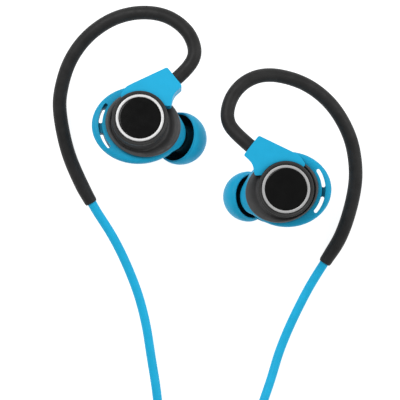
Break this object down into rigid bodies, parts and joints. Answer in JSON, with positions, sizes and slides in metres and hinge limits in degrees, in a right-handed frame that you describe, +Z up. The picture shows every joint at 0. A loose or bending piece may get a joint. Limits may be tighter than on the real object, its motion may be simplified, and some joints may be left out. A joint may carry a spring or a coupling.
{
  "type": "neckband earphones",
  "caption": "Sport earphones with over-ear hooks, silicone tips and fins, joined by a thin neck cord with an in-line control pod.",
  "frame": {"origin": "on the table under the middle of the pair of earphones, their cord, coil and pod left out", "axes": "+Z up from the table, out of the caps; +Y up the ears; +X from the left earphone to the right one"},
  "size_m": [0.081, 0.1561, 0.0208],
  "materials": {
    "blue_silicone": "satin moulded silicone",
    "blue_plastic": "satin moulded plastic",
    "cord_jacket": "satin extruded jacket",
    "black_rubber": "matt silicone",
    "dark_shell": "satin moulded plastic",
    "pod_shell": "fine spark-eroded texture",
    "gloss_badge": "polished",
    "silver_ring": "satin turned",
    "steel": "satin",
    "copper": "plain",
    "circuit_board": "solder mask",
    "battery_foil": "foil",
    "led_lens": "polished"
  },
  "bodies": {
    "earphones": {"left_badge": "gloss_badge", "left_trim_ring": "silver_ring", "left_outer_cap": "dark_shell", "left_rear_shell": "dark_shell", "left_driver": "copper", "left_nozzle_mesh": "steel", "left_ear_fin": "blue_silicone", "left_hook_arm": "blue_plastic", "left_ear_hook": "black_rubber", "left_memory_wire": "steel", "left_hook_lead": "copper", "right_badge": "gloss_badge", "right_trim_ring": "silver_ring", "right_outer_cap": "dark_shell", "right_rear_shell": "dark_shell", "right_driver": "copper", "right_nozzle_mesh": "steel", "right_ear_fin": "blue_silicone", "right_hook_arm": "blue_plastic", "right_ear_hook": "black_rubber", "right_memory_wire": "steel", "right_hook_lead": "copper", "neck_cord_left": "cord_jacket", "neck_cord_lead": "cord_jacket", "neck_cord_right": "cord_jacket", "neck_cord_coil": "cord_jacket", "cord_keeper": "black_rubber", "pod_base": "pod_shell", "pod_cover": "pod_shell", "pod_circuit_board": "circuit_board", "pod_battery": "battery_foil", "charge_socket": "steel", "status_light": "led_lens", "microphone": "steel", "pod_relief_left": "black_rubber", "pod_relief_right": "black_rubber"},
    "left_tip": {"left_ear_tip": "blue_silicone"},
    "right_tip": {"right_ear_tip": "blue_silicone"},
    "volume_up": {"volume_up_button": "blue_silicone"},
    "play": {"play_button": "blue_silicone"},
    "volume_down": {"volume_down_button": "blue_silicone"},
    "port_flap": {"port_cover": "black_rubber"}
  },
  "joints": [
    {"name": "left_tip_pull", "type": "slide", "parent": "earphones", "child": "left_tip", "axis": [0.6603, -0.198, -0.7244], "range_m": [0, 0.007]},
    {"name": "right_tip_pull", "type": "slide", "parent": "earphones", "child": "right_tip", "axis": [-0.6603, -0.03, -0.7504], "range_m": [0, 0.007]},
    {"name": "volume_up_press", "type": "slide", "parent": "earphones", "child": "volume_up", "axis": [0, 0, -1], "range_m": [0, 0.0003], "stiffness_N_per_m": 1500},
    {"name": "play_press", "type": "slide", "parent": "earphones", "child": "play", "axis": [0, 0, -1], "range_m": [0, 0.0003], "stiffness_N_per_m": 1500},
    {"name": "volume_down_press", "type": "slide", "parent": "earphones", "child": "volume_down", "axis": [0, 0, -1], "range_m": [0, 0.0003], "stiffness_N_per_m": 1500},
    {"name": "port_flap_hinge", "type": "hinge", "parent": "earphones", "child": "port_flap", "pos_m": [0.0185, -0.0958, 0.0023], "axis": [0, 0, 1], "range_deg": [0, 110]}
  ]
}
